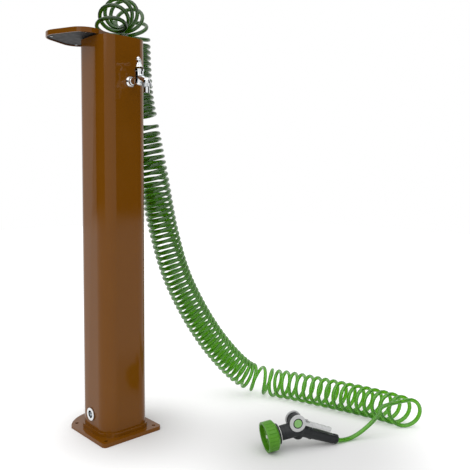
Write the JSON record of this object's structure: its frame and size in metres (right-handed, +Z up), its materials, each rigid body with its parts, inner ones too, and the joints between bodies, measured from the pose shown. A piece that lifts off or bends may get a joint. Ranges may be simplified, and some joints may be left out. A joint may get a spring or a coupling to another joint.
{
  "type": "garden standpipe",
  "caption": "Square hollow garden water column on a bolted foot plate, with a swivel lid, a tap, a curly hose drawn from its open top and a spray gun with a turning head.",
  "frame": {"origin": "on the floor under the middle of the column, in the plane of the foot plate's underside", "axes": "+Z up the column; the tap is on the -Y face, the water inlet on the -X face, the hose hangs over the +X face"},
  "size_m": [0.7466, 0.6471, 1.1107],
  "materials": {
    "painted_brown": "glossy powder coat",
    "chrome": "polished chrome plate",
    "steel": "plain stainless steel",
    "brass": "turned brass",
    "dark_plastic": "matt moulded",
    "rubber": "soft black",
    "ceramic": "lapped ceramic",
    "hose_green": "clear green tube",
    "green_plastic": "moulded, satin",
    "black_plastic": "moulded, satin",
    "pale_plastic": "moulded, satin",
    "grey_plastic": "moulded, satin"
  },
  "bodies": {
    "standpipe": {"base_plate": "painted_brown", "foot_screws": "steel", "column": "painted_brown", "rim_frame": "dark_plastic", "frame_screws": "steel", "pivot_bush": "brass", "pivot_washer": "steel", "pivot_spring": "steel", "inlet_flange": "chrome", "inlet_gasket": "rubber", "inlet_locknut": "brass", "inlet_strainer": "steel", "inlet_pipe": "steel", "inlet_elbow": "brass", "riser": "steel", "tee": "brass", "tap_seal": "rubber", "hose_connector": "brass", "hose_clamp": "steel", "tap_rosette": "chrome", "tap_body": "chrome", "tap_headwork": "brass", "union_nut": "chrome", "union_seal": "rubber", "hose_tail": "chrome", "hose": "hose_green", "gun_body": "black_plastic", "gun_ring": "black_plastic", "valve_spring": "steel", "valve_cap": "black_plastic", "gun_nut": "black_plastic", "gun_seal": "rubber"},
    "lid_group": {"lid": "painted_brown", "lid_liner": "dark_plastic", "liner_screws": "steel", "pivot_bolt": "steel"},
    "tap_turn_group": {"tap_spindle": "steel", "tap_disc": "ceramic", "tap_handle": "chrome", "handle_screw": "steel"},
    "dial_group": {"gun_head": "green_plastic", "gun_face": "green_plastic", "gun_jet": "pale_plastic"},
    "lever_group": {"gun_lever": "grey_plastic"},
    "button_group": {"gun_button": "green_plastic"},
    "stem_group": {"valve_stem": "steel"}
  },
  "joints": [
    {"name": "lid_swing", "type": "hinge", "parent": "standpipe", "child": "lid_group", "pos_m": [-0.0455, 0, 0.98], "axis": [0, 0, 1], "range_deg": [0, 65]},
    {"name": "tap_turn", "type": "hinge", "parent": "standpipe", "child": "tap_turn_group", "pos_m": [0.01, -0.102, 0.9], "axis": [0, 0, 1], "range_deg": [0, 90]},
    {"name": "dial_turn", "type": "hinge", "parent": "standpipe", "child": "dial_group", "pos_m": [0.2132, -0.3591, 0.03871], "axis": [-0.88, 0.4484, -0.1564], "continuous": true},
    {"name": "lever_press", "type": "hinge", "parent": "standpipe", "child": "lever_group", "pos_m": [0.26071, -0.38331, 0.06639], "axis": [0.454, 0.891, 0], "range_deg": [0, 4], "stiffness_Nm_per_rad": 3, "springref_deg": -8.59},
    {"name": "button_push", "type": "slide", "parent": "standpipe", "child": "button_group", "axis": [0.454, 0.891, 0], "range_m": [0, 0.002], "stiffness_N_per_m": 800, "springref_m": -0.002},
    {"name": "stem_push", "type": "slide", "parent": "standpipe", "child": "stem_group", "axis": [-0.3047, 0.1553, -0.9397], "range_m": [0, 0.0034], "deforming": ["valve_spring"]}
  ],
  "couplings": [
    {"joint": "stem_push", "follows": "lever_press", "m_per_rad": 0.047835}
  ]
}
